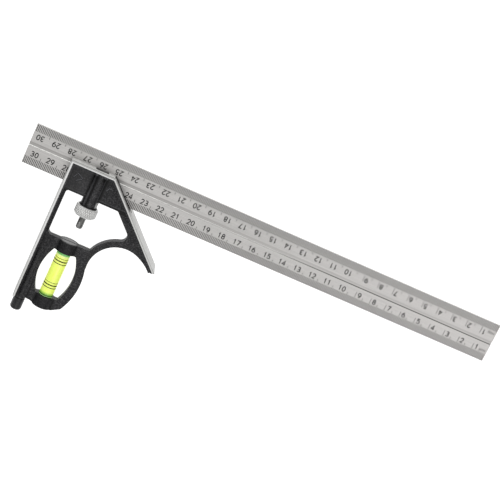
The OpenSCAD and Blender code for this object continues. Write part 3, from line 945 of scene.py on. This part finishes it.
def build_hook():
    """The part of the drawbolt's round body in front of the blade, with its top edge broken."""
    face_z = BLADE_HIGH[2] + 0.12
    start = math.asin((face_z - MID_Z) / BOLT_R)
    turns = [start + (math.pi - 2 * start) * i / HOOK_STEPS for i in range(HOOK_STEPS + 1)]
    outline = [(BOLT_X + BOLT_R * math.cos(a), MID_Z + BOLT_R * math.sin(a)) for a in turns]
    verts, faces, count = [], [], len(outline)
    for inset, y in ((0.0, BOLT_BODY_TOP - 0.3), (0.0, BOLT_HIGH[1] - 0.2), (0.2, BOLT_HIGH[1])):
        shrink = 1 - inset / BOLT_R
        verts += [(BOLT_X + (x - BOLT_X) * shrink, y, face_z + (z - face_z) * shrink) for x, z in outline]
    for low in (0, count):
        for k in range(count):
            n = (k + 1) % count
            faces.append((low + k, low + n, low + count + n, low + count + k))
    faces.append(tuple(range(count)))
    faces.append(tuple(range(2 * count, 3 * count)))
    return add_mesh("drawbolt_hook", verts, faces, HOOK_SHADE, "clamp_bolt", smooth=40.0)


def build_drawbolt():
    stud = build_stud()
    hook = build_hook()
    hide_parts("drawbolt")
    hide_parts("drawbolt")


build_nut()
build_drawbolt()


# ---------------------------------------------------------------- vial
RING_INNER = TUBE_R - 0.05
RING_OUTER = TUBE_R + 0.03
RING_STEPS = 72
RING_SETS = (-46.1, -62.2)
# Each line of a set: its place from the set's middle, and half its width
RING_LINES = ((-1.8, 0.24), (0.0, 0.34), (1.7, 0.14))


def build_vial_rings():
    """Reading lines round the tube: two sets of three, the middle one of each set thicker."""
    verts, faces = [], []
    for centre in RING_SETS:
        for offset, half in RING_LINES:
            low, high = centre + offset - half, centre + offset + half
            profile = [(RING_INNER, low), (RING_OUTER, low), (RING_OUTER, high), (RING_INNER, high)]
            more, quads = turned(profile, (VIAL_X, MID_Z), RING_STEPS)
            start = len(verts)
            verts += more
            faces += [tuple(start + i for i in face) for face in quads]
    add_mesh("vial_rings", verts, faces, MARK_FILL, "head", smooth=30.0)


build_vial_rings()


# ---------------------------------------------------------------- CAD pieces that are kept as they are
KEPT = {
    "clamp_washer": WASHER_SHADE,
    "clamp_spring": BOLT_STEEL,
    "vial_tube": TUBE,
    "vial_liquid": LIQUID,
    "vial_upper_plug": PLUG_GREEN,
    "vial_lower_plug": PLUG_GREEN,
    "vial_cushion": CUSHION_BLACK,
    "vial_retaining_screw": DISC_GREY,
    "scriber_sleeve": SLEEVE_BRASS,
    "scriber_needle": NEEDLE_STEEL,
    "scriber_knob": KNOB_BLACK,
}
for node_name, finish in KEPT.items():
    kept = frame["nodes"][node_name]
    kept.data.materials.clear()
    kept.data.materials.append(finish)


# ---------------------------------------------------------------- stage, light and camera
# The floor lies just under the head and glows, so that it stays white; its height is in millimetres
FLOOR_Z = -0.4
FLOOR_HALF = 3000
FLOOR_GLOW = 0.98
WORLD_LEVEL = 0.38
# Where both lamps point: the middle of the tool
LIT = (0.10, -0.01, 0.0)


def build_stage():
    """A white floor."""
    look = Look("floor_white", (0.45, 0.45, 0.45), 0.85)
    soft = look.noise(look.coords, 30, 2.0)
    look.put("Base Color", look.mix(soft, (0.44, 0.44, 0.44), (0.46, 0.46, 0.46)))
    look.shader.inputs["Emission Color"].default_value = (1, 1, 1, 1)
    look.shader.inputs["Emission Strength"].default_value = FLOOR_GLOW
    mesh = bpy.data.meshes.new("floor")
    sides = ((-1, -1), (1, -1), (1, 1), (-1, 1))
    corners = [(x * FLOOR_HALF * MM, y * FLOOR_HALF * MM, FLOOR_Z * MM) for x, y in sides]
    mesh.from_pydata(corners, [], [(0, 1, 2, 3)])
    mesh.materials.append(look.material)
    floor = bpy.data.objects.new("floor", mesh)
    bpy.context.scene.collection.objects.link(floor)


def softbox(name, position, size, radiance):
    """A rectangular lamp of the given radiance; its position and size are in metres."""
    data = bpy.data.lights.new(name, "AREA")
    data.shape = "RECTANGLE"
    data.size, data.size_y = size
    data.energy = radiance * math.pi * size[0] * size[1]
    lamp = bpy.data.objects.new(name, data)
    lamp.location = position
    lamp.rotation_euler = (Vector(LIT) - Vector(position)).to_track_quat("-Z", "Y").to_euler()
    bpy.context.scene.collection.objects.link(lamp)


def build_light():
    world = bpy.data.worlds.new("studio")
    world.use_nodes = True
    back = world.node_tree.nodes["Background"]
    back.inputs["Color"].default_value = (1.0, 1.0, 1.0, 1)
    back.inputs["Strength"].default_value = WORLD_LEVEL
    bpy.context.scene.world = world
    softbox("top_softbox", (0.30, -0.28, 1.15), (1.1, 1.1), 1.1)
    softbox("key_softbox", (-0.55, 0.75, 0.55), (0.5, 0.35), 7.0)


# The camera: its place in metres, the directions of its right, down and view axes, and its lens and its
# sensor's width in millimetres
CAMERA_AT = (-0.02198, 0.24068, 0.90152)
CAMERA_RIGHT = (0.90681308, 0.42030462, 0.03215699)
CAMERA_DOWN = (0.39369897, -0.87172878, 0.29170198)
CAMERA_AHEAD = (0.15063587, -0.251859, -0.95596856)
CAMERA_LENS = 112.16
CAMERA_SENSOR = 36.0


def build_camera():
    data = bpy.data.cameras.new("camera")
    data.sensor_width = CAMERA_SENSOR
    data.lens = CAMERA_LENS
    data.clip_end = 20.0
    camera = bpy.data.objects.new("camera", data)
    columns = (Vector(CAMERA_RIGHT), -Vector(CAMERA_DOWN), -Vector(CAMERA_AHEAD))
    turn = Matrix([[c[i] for c in columns] for i in range(3)]).to_4x4()
    camera.matrix_world = Matrix.Translation(CAMERA_AT) @ turn
    bpy.context.scene.collection.objects.link(camera)
    bpy.context.scene.camera = camera


build_stage()
build_light()
build_camera()
bpy.context.scene.view_settings.view_transform = "Standard"
bpy.context.scene.view_settings.look = "None"
